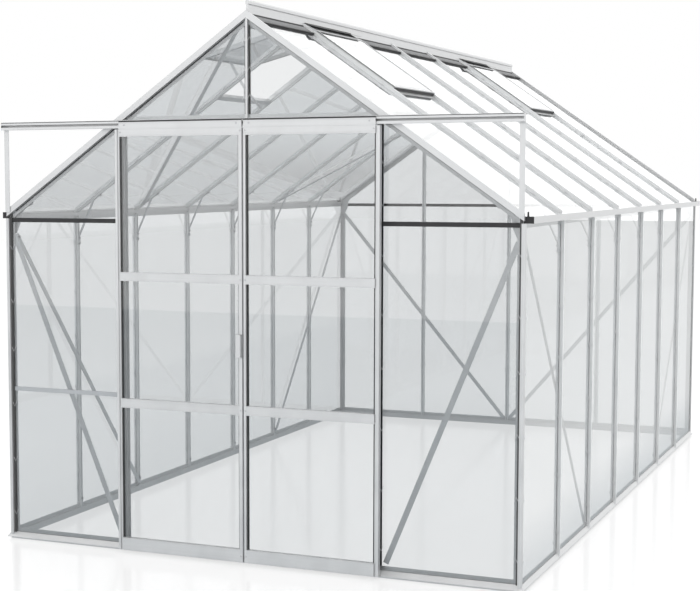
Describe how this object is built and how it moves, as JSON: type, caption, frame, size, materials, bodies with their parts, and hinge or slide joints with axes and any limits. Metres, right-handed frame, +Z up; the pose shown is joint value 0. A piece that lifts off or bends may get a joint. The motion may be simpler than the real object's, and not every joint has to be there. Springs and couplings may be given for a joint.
{
  "type": "glass greenhouse",
  "caption": "Free-standing gabled glasshouse with a light metal frame, clear glass panes, roof vents and sliding doors in its front gable.",
  "frame": {"origin": "middle of the doorway, under the outer face of the front glass, on the underside of the base sills", "axes": "+X to the right seen from the front, +Y from the front gable to the rear gable, +Z up"},
  "size_m": [2.57, 4.442, 2.503],
  "materials": {
    "frame_metal": "mill finish, satin",
    "brace_metal": "satin",
    "glazing": "clear",
    "seal": "matt",
    "black_plastic": "matt"
  },
  "bodies": {
    "root": {"corner_gaskets": "seal", "corner_posts": "frame_metal", "door_header": "frame_metal", "door_posts": "frame_metal", "door_track": "frame_metal", "eave_strips_front": "black_plastic", "eave_strips_rear": "black_plastic", "gable_post": "frame_metal", "gable_rafters_left": "frame_metal", "gable_rafters_right": "frame_metal", "glass_front": "glazing", "glass_left": "glazing", "glass_rear": "glazing", "glass_right": "glazing", "glazing_seals": "seal", "gusset_plates": "brace_metal", "gutter_end_caps": "black_plastic", "gutters": "frame_metal", "knee_struts": "brace_metal", "panel_mid_bar": "frame_metal", "rear_bars": "frame_metal", "ridge": "frame_metal", "roof_bars_left": "frame_metal", "roof_bars_right": "frame_metal", "roof_braces": "brace_metal", "roof_glass_left": "glazing", "roof_glass_right": "glazing", "side_bars_left": "frame_metal", "side_bars_right": "frame_metal", "sill_front": "frame_metal", "sill_left": "frame_metal", "sill_rear": "frame_metal", "sill_right": "frame_metal", "track_stays": "frame_metal", "vent_arm": "brace_metal", "vent_frames": "frame_metal", "vent_glass": "glazing", "vent_sills": "frame_metal", "wall_braces": "brace_metal"},
    "left_door": {"left_door_glass": "glazing", "left_door_handle": "frame_metal", "left_door_rails": "frame_metal", "left_door_rollers": "black_plastic", "left_door_seals": "seal", "left_door_stiles": "frame_metal"},
    "right_door": {"right_door_glass": "glazing", "right_door_rails": "frame_metal", "right_door_rollers": "black_plastic", "right_door_seals": "seal", "right_door_stiles": "frame_metal"}
  },
  "joints": [
    {"name": "left_door_slide", "type": "slide", "parent": "root", "child": "left_door", "axis": [-1, 0, 0], "range_m": [0, 0.6]},
    {"name": "right_door_slide", "type": "slide", "parent": "root", "child": "right_door", "axis": [1, 0, 0], "range_m": [0, 0.6]}
  ]
}
